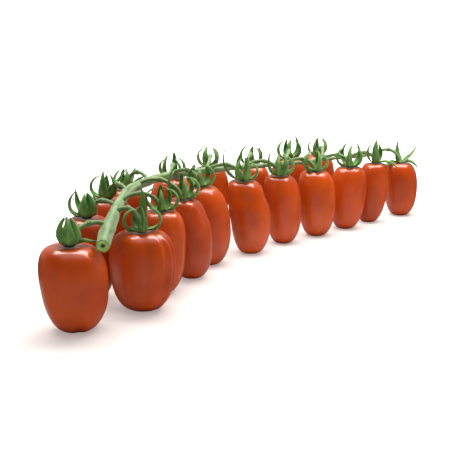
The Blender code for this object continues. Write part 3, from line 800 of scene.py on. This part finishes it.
@dataclass
class StalkCurve:
    """The arching stalk that joins the main stem to one calyx, with its knuckle."""

    fruit: Tomato
    stem: "MainStem"
    knuckle_at: float = 0.50
    radius: float = 1.05
    seat_clearance: float = 0.4
    least_reach: float = 4.0
    start_pull: float = 0.35
    start_rise: float = 0.5
    start_share: float = 0.45
    arch_share: float = 0.9
    end_share: float = 0.12
    end_rise: float = 3.0
    knuckle_radius: float = 1.6
    knuckle_reach: float = 0.045
    root_reach: float = 0.10
    end_swelling: float = 0.35
    hair_share: float = 0.30
    ridges: int = 4
    ridge_height: float = 0.07
    knob_height: float = 0.06
    hair_lengths: tuple = (0.25, 0.6)
    steps: int = 26
    sides: int = 14

    def controls(self) -> tuple:
        """Works out the curve from the stem to the calyx.

        Returns:
            Its four control points.
        """
        plan = self.fruit.plan
        seat = self.fruit.seat() + Vector((0.0, 0.0, GAP + self.seat_clearance))
        start = self.stem.centre(plan.root)
        along = self.stem.heading(plan.root)
        away = seat - start
        away.z = 0.0
        reach = max(away.length, self.least_reach)
        pull = along * self.start_pull + away.normalized() * self.start_pull
        start_arm = (pull + Vector((0, 0, self.start_rise))) * self.start_share * reach
        start_arm.z = max(start_arm.z, plan.arch * self.arch_share)
        end_arm = Vector((-away.x, -away.y, 0.0)).normalized() * self.end_share * reach
        end_arm.z = plan.arch + max(start.z - seat.z, 0.0) + self.end_rise
        return start, start + start_arm, seat + end_arm, seat

    def place(self, t: float) -> Vector:
        """Finds a point of the curve.

        Args:
            t: Share of the curve.

        Returns:
            The point there.
        """
        a, b, c, d = self.controls()
        s = 1.0 - t
        return a * s ** 3 + b * (3 * s * s * t) + c * (3 * s * t * t) + d * t ** 3

    def heading(self, t: float) -> Vector:
        """Finds the direction of the curve.

        Args:
            t: Share of the curve.

        Returns:
            The unit direction there.
        """
        a, b, c, d = self.controls()
        s = 1.0 - t
        return ((b - a) * (3 * s * s) + (c - b) * (6 * s * t) + (d - c) * (3 * t * t)).normalized()

    def half_gap(self) -> float:
        """Works out half of the parting at the knuckle.

        Returns:
            A share of the curve.
        """
        count = 24
        places = [self.place(i / count) for i in range(count + 1)]
        length = sum((places[i + 1] - places[i]).length for i in range(count))
        return 0.5 * GAP / length

    def thickness(self, t: float, root: float) -> float:
        """Works out the stalk's radius.

        Args:
            t: Share of the curve.
            root: Radius where the stalk leaves the stem.

        Returns:
            The radius in millimetres.
        """
        base = self.radius + (root - self.radius) * math.exp(
            -(t / self.root_reach) ** 2)
        base *= 1.0 + self.end_swelling * max(t - 0.5, 0.0) ** 2 * 4.0
        knuckle = (self.knuckle_radius - self.radius) * math.exp(
            -((t - self.knuckle_at) / self.knuckle_reach) ** 2)
        return base + knuckle

    def add_to(self, draft: MeshDraft, first: float, last: float, root: float, finish: int,
               seed: int) -> None:
        """Adds a stretch of the stalk with its hairs.

        Args:
            draft: The mesh to add to.
            first: Share of the curve where the stretch begins.
            last: Share of the curve where it ends.
            root: Radius where the stalk leaves the stem.
            finish: Number of the finish.
            seed: Start of the random draw for the hairs.
        """
        rng = random.Random(seed)
        shares = [first + (last - first) * i / self.steps for i in range(self.steps + 1)]
        headings = [self.heading(t) for t in shares]
        sections = []
        marks = []
        for t, heading, side in zip(shares, headings, carried_sides(headings)):
            other = heading.cross(side)
            centre = self.place(t)
            ring = []
            row = []
            for index in range(self.sides):
                angle = FULL_TURN * index / self.sides
                outward = side * math.cos(angle) + other * math.sin(angle)
                ridge = 0.5 + 0.5 * math.cos(self.ridges * angle + 1.3 * seed)
                radius = self.thickness(t, root) * (0.95 + self.ridge_height * ridge)
                radius *= 1.0 + self.knob_height * noise.noise((centre + outward) * 0.9)
                ring.append(centre + outward * radius)
                # Mark of the ridge crests, which the finish paints paler as a painted highlight.
                row.append(ridge)
                if rng.random() < self.hair_share:
                    lean = (outward + heading * rng.uniform(-0.5, 0.5)).normalized()
                    draft.add_hair(centre + outward * radius, lean,
                                   rng.uniform(*self.hair_lengths))
            sections.append(ring)
            marks.append(row)
        draft.add_loft(sections, marks, finish)


@dataclass
class Calyx:
    """The green star on a fruit with the outer half of its stalk."""

    fruit: Tomato
    stalk: StalkCurve
    sepal_width: float = 5.6
    thickness: float = 0.55
    fold: float = 0.30
    flat_share: float = 0.10
    bend_power: float = 1.6
    bend_ease: float = 0.0075
    bend_from: float = 112.0
    tip_power: float = 0.7
    root_radius: float = 1.5
    hub: tuple = ((GAP, 1.7), (GAP + 0.15, 2.1), (GAP + 0.5, 2.5), (1.0, 2.45), (1.5, 2.1),
                  (1.9, 1.7), (2.3, 1.45), (2.6, 1.25))
    hub_sides: int = 28
    root_height: float = 0.8
    clear_width: float = 0.8
    clear_height: float = 0.75
    edge_thinning: float = 0.72
    fold_limit: float = 1.3
    rib_height: float = 0.22
    last_share: float = 0.985
    hairs_a_station: int = 2
    hair_lengths: tuple = (0.3, 0.65)
    fold_power: float = 1.4
    root_width: float = 0.72
    tip_width: float = 0.07
    wave_height: float = 0.12
    most_twist: float = 0.25
    hub_lobe: float = 0.05
    stations: int = 30
    across: int = 7

    def course(self, sepal: SepalPlan) -> list[Vector]:
        """Works out the spine of a sepal.

        Args:
            sepal: The plan of the sepal.

        Returns:
            Points from its root to its tip.
        """
        seat = self.fruit.seat()
        heading = math.radians(sepal.heading)
        step = sepal.length / (self.stations - 1)
        power = self.bend_power - self.bend_ease * max(sepal.curl - self.bend_from, 0.0)
        point = seat + Vector((math.cos(heading), math.sin(heading), 0.0)) * self.root_radius
        point.z += GAP + self.root_height
        spine = [point.copy()]
        for index in range(1, self.stations):
            share = (index - 0.5) / (self.stations - 1)
            bent = max(share - self.flat_share, 0.0) / (1.0 - self.flat_share)
            bend = 1.0 - (1.0 - bent) ** power
            angle = math.radians(sepal.rise + (sepal.curl - sepal.rise) * bend)
            turn = heading + math.radians(sepal.sway) * share
            flat = Vector((math.cos(turn), math.sin(turn), 0.0))
            point = point + (flat * math.cos(angle) + Vector((0, 0, 1)) * math.sin(angle)) * step
            spine.append(point.copy())
        return self.lifted(spine)

    def lifted(self, spine: list[Vector]) -> list[Vector]:
        """Keeps a spine clear of the skin of its own fruit.

        Args:
            spine: The points as planned.

        Returns:
            The points, raised where they would come too near.
        """
        ups = np.linspace(0.5, 1.0, 40)
        result = []
        for point in spine:
            axis_x, axis_y = self.fruit.axis(point.z)
            around = math.atan2(point.y - axis_y, point.x - axis_x)
            distance = math.hypot(point.x - axis_x, point.y - axis_y)
            skin = self.fruit.skin(ups, np.full_like(ups, around), fine=False)
            spread = np.hypot(skin[:, 0] - axis_x, skin[:, 1] - axis_y)
            near = skin[spread >= distance - self.clear_width, 2]
            if len(near) and point.z < near.max() + self.clear_height:
                point = Vector((point.x, point.y, near.max() + self.clear_height))
            result.append(point)
        return result

    def add_sepal(self, draft: MeshDraft, sepal: SepalPlan, seed: int) -> None:
        """Adds one folded, lance-shaped sepal with its raised midrib and hairs.

        Args:
            draft: The mesh to add to.
            sepal: The plan of the sepal.
            seed: Start of the random draw for its edge and hairs.
        """
        rng = random.Random(seed)
        spine = self.course(sepal)
        across = Vector((-math.sin(math.radians(sepal.heading)),
                         math.cos(math.radians(sepal.heading)), 0.0))
        sections = []
        marks = []
        last = len(spine) - 1
        twist = rng.uniform(-self.most_twist, self.most_twist)
        for index, centre in enumerate(spine):
            heading = (spine[min(index + 1, last)] - spine[max(index - 1, 0)]).normalized()
            side = across - heading * across.dot(heading)
            side.normalize()
            inward = heading.cross(side)
            share = index / last
            angle = twist * share
            side, inward = (side * math.cos(angle) + inward * math.sin(angle),
                            inward * math.cos(angle) - side * math.sin(angle))
            wide = min(1.0, self.root_width + 1.6 * share) * (1.0 - share) ** self.tip_power
            half = 0.5 * self.sepal_width * sepal.width * max(wide, self.tip_width)
            thick = 0.5 * self.thickness * (1.0 - 0.45 * share)
            fold = min(2.0 * half * self.fold, self.fold_limit) * min(1.0, 4.0 * share)
            edge_wave = self.wave_height * math.sin(9.0 * share + seed) * half
            ring = []
            row = []
            steps = range(self.across)
            for under, step in [(True, i) for i in steps] + [(False, i) for i in reversed(steps)]:
                v = -1.0 + 2.0 * step / (self.across - 1)
                rise = fold * abs(v) ** self.fold_power + edge_wave * v * v
                body = thick * (1.0 - self.edge_thinning * v * v)
                if under:
                    rib = self.rib_height * math.exp(-(v / 0.16) ** 2) * (1.0 - share)
                    height = rise - body - rib
                    row.append(math.exp(-(v / 0.20) ** 2) * (1.0 - 0.5 * share))
                else:
                    height = rise + body
                    row.append(0.35 * math.exp(-(v / 0.15) ** 2))
                ring.append(centre + side * (half * v) + inward * height)
            sections.append(ring)
            marks.append(row)
            for _ in range(self.hairs_a_station):
                v = rng.uniform(-1.0, 1.0)
                rise = fold * abs(v) ** self.fold_power - thick * 0.3
                root = centre + side * (half * v) + inward * rise
                lean = (side * v + inward * -0.7 + heading * rng.uniform(-0.4, 0.6)).normalized()
                draft.add_hair(root, lean, rng.uniform(*self.hair_lengths))
        draft.add_loft(sections, marks, SEPAL)

    def add_hub(self, draft: MeshDraft) -> None:
        """Adds the small cup that the sepals and the stalk grow from.

        Args:
            draft: The mesh to add to.
        """
        seat = self.fruit.seat()
        sections = []
        for height, radius in self.hub:
            ring = []
            for index in range(self.hub_sides):
                angle = FULL_TURN * index / self.hub_sides
                bulge = radius * (1.0 + self.hub_lobe * math.cos(5 * angle))
                ring.append(seat + Vector((math.cos(angle) * bulge, math.sin(angle) * bulge,
                                           height)))
            sections.append(ring)
        draft.add_loft(sections, [[0.3] * self.hub_sides] * len(sections), SEPAL)

    def built(self, finishes: Finishes, seed: int) -> bpy.types.Object:
        """Builds and dresses the calyx.

        Args:
            finishes: The materials.
            seed: Start of the random draws.

        Returns:
            The piece.
        """
        draft = MeshDraft()
        self.add_hub(draft)
        for index, sepal in enumerate(self.fruit.plan.sepals):
            self.add_sepal(draft, sepal, seed * 31 + index)
        first = self.stalk.knuckle_at + self.stalk.half_gap()
        self.stalk.add_to(draft, first, self.last_share, self.stalk.radius, STALK, seed)
        name = self.fruit.plan.name.replace("tomato", "calyx")
        piece = draft.finished("fine_" + name, [finishes.sepal, finishes.stalk, finishes.hair])
        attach(piece, "root")
        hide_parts(name)
        return piece


@dataclass
class MainStem:
    """The ridged main stem with the inner halves of the fruit stalks."""

    course: tuple = STEM_COURSE
    sides: int = 40
    steps: int = 360
    ridges: int = 5
    hollow_depth: float = 1.2
    hair_share: float = 0.16
    hair_lengths: tuple = (0.3, 0.7)
    foot_swelling: float = 0.26
    foot_place: float = 1.5
    foot_reach: float = 1.1
    branch_swelling: float = 0.09
    branch_reach: float = 0.20
    ridge_height: float = 0.07
    knob_height: float = 0.12
    cut_rings: tuple = ((0.96, -0.10, 0.9), (0.86, -0.16, 0.5), (0.70, -0.05, 0.1),
                        (0.52, 0.02, 0.25), (0.36, 0.0, 0.6), (0.30, 0.25, 0.9))
    hollow_share: float = 0.27
    stalk_root: float = 1.3
    stalk_share: float = 0.8
    tip_offset: float = 0.02
    stalk_seed: int = 200
    seed: int = 5

    def centre(self, place: float) -> Vector:
        """Gives the centre at a fractional index of the course."""
        return smooth_point([Vector(row[:3]) for row in self.course], place)

    def radius(self, place: float) -> float:
        """Gives the radius at a fractional index of the course."""
        return smooth_point([Vector((row[3] / 2, 0.0, 0.0)) for row in self.course], place).x

    def heading(self, place: float) -> Vector:
        """Finds the direction of the stem.

        Args:
            place: Fractional index of the course.

        Returns:
            The unit direction there.
        """
        last = len(self.course) - 1
        low = max(place - 0.05, 0.0)
        high = min(place + 0.05, last)
        return (self.centre(high) - self.centre(low)).normalized()

    def swelling(self, place: float, roots: list) -> float:
        """Works out how much the stem swells where stalks branch off.

        Args:
            place: Fractional index of the course.
            roots: Places where stalks leave the stem.

        Returns:
            A factor for the radius.
        """
        foot = self.foot_swelling * math.exp(-((place - self.foot_place) / self.foot_reach) ** 2)
        return 1.0 + foot + sum(
            self.branch_swelling * math.exp(-((place - root) / self.branch_reach) ** 2)
            for root in roots)

    def add_bar(self, draft: MeshDraft, roots: list) -> None:
        """Adds the main stem and its cut end.

        Args:
            draft: The mesh to add to.
            roots: Places where stalks leave the stem.
        """
        rng = random.Random(self.seed)
        last = len(self.course) - 1
        places = [last * i / self.steps for i in range(self.steps + 1)]
        headings = [self.heading(place) for place in places]
        sides = carried_sides(headings)
        sections = []
        marks = []
        for place, heading, side in zip(places, headings, sides):
            other = heading.cross(side)
            centre = self.centre(place)
            ring = []
            row = []
            for index in range(self.sides):
                angle = FULL_TURN * index / self.sides
                outward = side * math.cos(angle) + other * math.sin(angle)
                ridge = 0.5 + 0.5 * math.cos(self.ridges * angle + 0.5 * place)
                knob = noise.noise(centre * 0.14 + outward * 1.1)
                radius = self.radius(place) * self.swelling(place, roots)
                radius *= 0.945 + self.ridge_height * ridge + self.knob_height * knob
                ring.append(centre + outward * radius)
                # Mark of the ridge crests, varied by noise, which the finish paints paler as a
                # painted highlight.
                row.append(ridge * (0.55 + 0.45 * noise.noise(centre * 0.22 + outward * 2.0)))
                if rng.random() < self.hair_share:
                    lean = (outward + heading * rng.uniform(-0.5, 0.5)).normalized()
                    draft.add_hair(centre + outward * radius, lean,
                                   rng.uniform(*self.hair_lengths))
            sections.append(ring)
            marks.append(row)
        rows = draft.add_loft(sections, marks, BARK, close=False)
        self.add_cut(draft, sections[0], headings[0])
        draft.add_face(tuple(rows[-1]), BARK)

    def add_cut(self, draft: MeshDraft, rim: list, heading: Vector) -> None:
        """Adds the cut face with its rings and the hollow pith.

        Args:
            draft: The mesh to add to.
            rim: Points of the stem's first ring.
            heading: Direction of the stem there.
        """
        centre = self.centre(0.0)
        rings = (*self.cut_rings, (self.hollow_share, self.hollow_depth, 1.0))
        sections = [list(rim)]
        marks = [[1.0] * len(rim)]
        for share, depth, mark in rings:
            ring = []
            for point in rim:
                ragged = 0.05 * noise.noise(point * 3.0 + Vector((share * 5.0, 0.0, 0.0)))
                ring.append(centre + (point - centre) * share + heading * (depth + ragged))
            sections.append(ring)
            marks.append([mark] * len(rim))
        rows = draft.add_loft([ring[::-1] for ring in sections], marks, CUT, close=False)
        draft.add_face(tuple(rows[-1]), CUT)

    def built(self, finishes: Finishes, stalks: list[StalkCurve]) -> bpy.types.Object:
        """Builds and dresses the stem.

        Args:
            finishes: The materials.
            stalks: The curves of all fruit stalks.

        Returns:
            The piece.
        """
        draft = MeshDraft()
        self.add_bar(draft, [stalk.fruit.plan.root for stalk in stalks])
        for index, stalk in enumerate(stalks):
            root = stalk.fruit.plan.root
            thick = min(stalk.radius * self.stalk_root, self.radius(root) * self.stalk_share)
            first = self.tip_offset if root > len(self.course) - 1.01 else 0.0
            stalk.add_to(draft, first, stalk.knuckle_at - stalk.half_gap(), thick, INNER_STALK,
                         self.stalk_seed + index)
        piece = draft.finished("fine_stem", [finishes.stem, finishes.cut, finishes.hair,
                                             finishes.stalk])
        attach(piece, "root")
        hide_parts("stem")
        return piece


@dataclass(frozen=True)
class Softbox:
    """A soft rectangular light that faces the truss.

    side, ahead and up: metres to the right of the truss as the camera sees
    it, beyond it and above the floor. size: width and depth in metres. power:
    in watts.
    """

    name: str
    side: float
    ahead: float
    up: float
    size: tuple
    power: float


@dataclass
class Studio:
    """White floor, soft lights and the camera."""

    camera_place: Vector = field(default_factory=lambda: Vector((-403.62, -333.85, 145.52)))
    camera_heading: float = 50.0
    camera_dip: float = 14.036
    lens: float = 72.0
    room_low: float = 0.08
    room_high: float = 0.45
    mirrored_dark: float = 0.0
    mirrored_pale: float = 0.45
    mirrored_range: tuple = (0.1, 0.8)
    room_top: float = 0.8
    seen_room: float = 1.2
    floor_half: float = 6.0
    floor_white: float = 0.93
    floor_paler: float = 0.945
    mirrored_near: float = 0.22
    mirrored_far: float = 0.0
    near_box: tuple = (0.15, 0.030, 1.0)
    # seen_floor, shadow_glow and glow_reach: the floor's tone and glow for camera rays; the glow
    # is painted light, pinkish in the shadows near the truss and white beyond.
    seen_floor: float = 0.52
    shadow_glow: tuple = (0.36, 0.30, 0.29)
    glow_reach: float = 0.085
    near_reach: float = 0.028
    lamp_tone: tuple = (1.0, 0.95, 0.87)
    ceiling_strength: float = 1.05
    ceiling_width: float = 70.0
    ceiling_tilt: float = -0.12
    aim_height: float = 0.03
    softboxes: tuple = (
        Softbox("overhead_softbox", 0.02, 0.16, 0.50, (0.75, 0.45), 9.0),
        Softbox("right_softbox", 0.46, 0.24, 0.28, (0.45, 0.40), 9.0))

    def gaze(self) -> Vector:
        """Gives the level direction in which the camera looks."""
        heading = math.radians(self.camera_heading)
        return Vector((math.sin(heading), math.cos(heading), 0.0))

    def add_floor(self) -> None:
        """Adds the white surface that the fruits stand on. To the camera it is darker and glows: a
        pinkish glow near the truss paints its shadows lighter and reddish, and a white glow
        farther out paints the far floor white. In reflections it is dark, a little paler close to
        the truss.
        """
        half = self.floor_half
        mesh = bpy.data.meshes.new("white_floor")
        mesh.from_pydata([(-half, -half, 0), (half, -half, 0), (half, half, 0), (-half, half, 0)],
                         [], [(0, 1, 2, 3)])
        floor = placed("white_floor", mesh)
        material = bpy.data.materials.new("white_sweep")
        material.use_nodes = True
        board = NodeBoard(material.node_tree)
        grain = board.add("TexNoise", {"Scale": 40.0}).outputs["Fac"]
        tone = board.ramp(grain, [(0.3, self.floor_white), (0.7, self.floor_paler)])
        place = board.add("TexCoord").outputs["Object"]
        away = board.add("VectorMath", {0: place}, operation="ABSOLUTE").outputs["Vector"]
        beyond = board.add("VectorMath", {0: away, 1: self.near_box}, operation="SUBTRACT")
        outside = board.add("VectorMath", {0: beyond.outputs["Vector"]}, operation="MAXIMUM")
        gap = board.add("VectorMath", {0: outside.outputs["Vector"]},
                        operation="LENGTH").outputs["Value"]
        far = board.add("MapRange", {"Value": gap, "From Max": self.near_reach},
                        interpolation_type="SMOOTHSTEP").outputs["Result"]
        reach = board.add("MapRange", {"Value": gap, "From Min": self.near_reach,
                                       "From Max": self.glow_reach},
                          interpolation_type="SMOOTHSTEP").outputs["Result"]
        mirrored = board.mix(far, (self.mirrored_near,) * 3, (self.mirrored_far,) * 3)
        path = board.add("LightPath").outputs
        tone = board.mix(path["Is Glossy Ray"], tone, mirrored)
        # Camera rays see a darker floor that glows: pinkish near the truss as painted reddish
        # light in its shadows, white farther out as painted light on the far floor.
        board.feed(material.node_tree.nodes["Principled BSDF"], {
            "Base Color": board.mix(path["Is Camera Ray"], tone, (self.seen_floor,) * 3),
            "Emission Color": board.mix(reach, self.shadow_glow, (1.0, 1.0, 1.0)),
            "Emission Strength": path["Is Camera Ray"], "Roughness": 0.6,
            "Specular IOR Level": 0.1})
        mesh.materials.append(material)

    def add_room(self) -> None:
        """Surrounds the set with white light that mirrors dark on the camera's side."""
        world = bpy.data.worlds.new("white_room")
        bpy.context.scene.world = world
        world.use_nodes = True
        board = NodeBoard(world.node_tree)
        place = board.add("TexCoord").outputs["Generated"]
        facing = board.add("VectorMath", {0: place, 1: self.gaze()}, operation="DOT_PRODUCT")
        low, high = self.mirrored_range
        mirrored = board.add("MapRange", {
            "Value": facing.outputs["Value"], "From Min": low, "From Max": high,
            "To Min": self.mirrored_dark, "To Max": self.mirrored_pale})
        parts = board.add("SeparateXYZ", {"Vector": place})
        height = board.add("MapRange", {"Value": parts.outputs["Z"], "From Max": self.room_top,
                                        "To Min": self.room_low, "To Max": self.room_high})
        path = board.add("LightPath").outputs
        seen = board.add("Mix", {0: path["Is Camera Ray"], 2: height.outputs["Result"],
                                 3: self.seen_room}, data_type="FLOAT")
        strength = board.add("Mix", {0: path["Is Glossy Ray"], 2: seen.outputs[0],
                                     3: mirrored.outputs["Result"]}, data_type="FLOAT")
        board.feed(world.node_tree.nodes["Background"], {
            "Color": (1.0, 1.0, 1.0, 1.0), "Strength": strength.outputs[0]})

    def add_softbox(self, box: Softbox) -> None:
        """Adds one soft light and turns it to the truss.

        Args:
            box: The plan of the light.
        """
        light = bpy.data.lights.new(box.name, "AREA")
        light.shape = "RECTANGLE"
        light.size, light.size_y = box.size
        light.energy = box.power
        light.color = self.lamp_tone
        lamp = placed(box.name, light)
        gaze = self.gaze()
        right = Vector((gaze.y, -gaze.x, 0.0))
        lamp.location = right * box.side + gaze * box.ahead + Vector((0.0, 0.0, box.up))
        down = (Vector((0.0, 0.0, self.aim_height)) - lamp.location).normalized()
        across = right - down * right.dot(down)
        across.normalize()
        turn = Matrix((across, -(across.cross(down)), -down)).transposed()
        lamp.rotation_euler = turn.to_euler()

    def add_ceiling(self) -> None:
        """Adds wide, even light from the white ceiling above the whole floor."""
        light = bpy.data.lights.new("ceiling_light", "SUN")
        light.energy = self.ceiling_strength
        light.angle = math.radians(self.ceiling_width)
        lamp = placed("ceiling_light", light)
        down = self.gaze() * self.ceiling_tilt + Vector((0.0, 0.0, -1.0))
        lamp.rotation_euler = down.to_track_quat("-Z", "Y").to_euler()

    def add_camera(self) -> None:
        """Adds the camera at the viewing angle of the picture."""
        camera = bpy.data.cameras.new("picture_camera")
        camera.lens = self.lens
        camera.clip_start = 0.01
        holder = placed("picture_camera", camera)
        holder.location = (self.camera_place + TRUSS_SHIFT) * MM
        dip = math.radians(self.camera_dip)
        gaze = self.gaze() * math.cos(dip) - Vector((0.0, 0.0, math.sin(dip)))
        holder.rotation_euler = gaze.to_track_quat("-Z", "Y").to_euler()
        bpy.context.scene.camera = holder

    def built(self) -> None:
        """Sets up the whole studio."""
        self.add_floor()
        self.add_room()
        self.add_ceiling()
        for box in self.softboxes:
            self.add_softbox(box)
        self.add_camera()
        bpy.context.scene.view_settings.view_transform = "Standard"


def main() -> None:
    """Sets up the studio, then builds the truss piece by piece and logs the points of each piece.
    """
    logging.basicConfig(level=logging.INFO, format="%(name)s: %(message)s")
    Studio().built()
    finishes = Finishes()
    stem = MainStem()
    stalks = []
    for index, plan in enumerate(FRONT_ROW + BACK_ROW):
        fruit = Tomato(plan)
        stalk = StalkCurve(fruit, stem)
        stalks.append(stalk)
        log.info("fruit %s: %d points", plan.name, len(fruit.built(finishes).data.vertices))
        calyx = Calyx(fruit, stalk).built(finishes, index + 1)
        log.info("calyx %s: %d points", calyx.name, len(calyx.data.vertices))
    log.info("stem: %d points", len(stem.built(finishes, stalks).data.vertices))


if __name__ == "__main__":
    main()
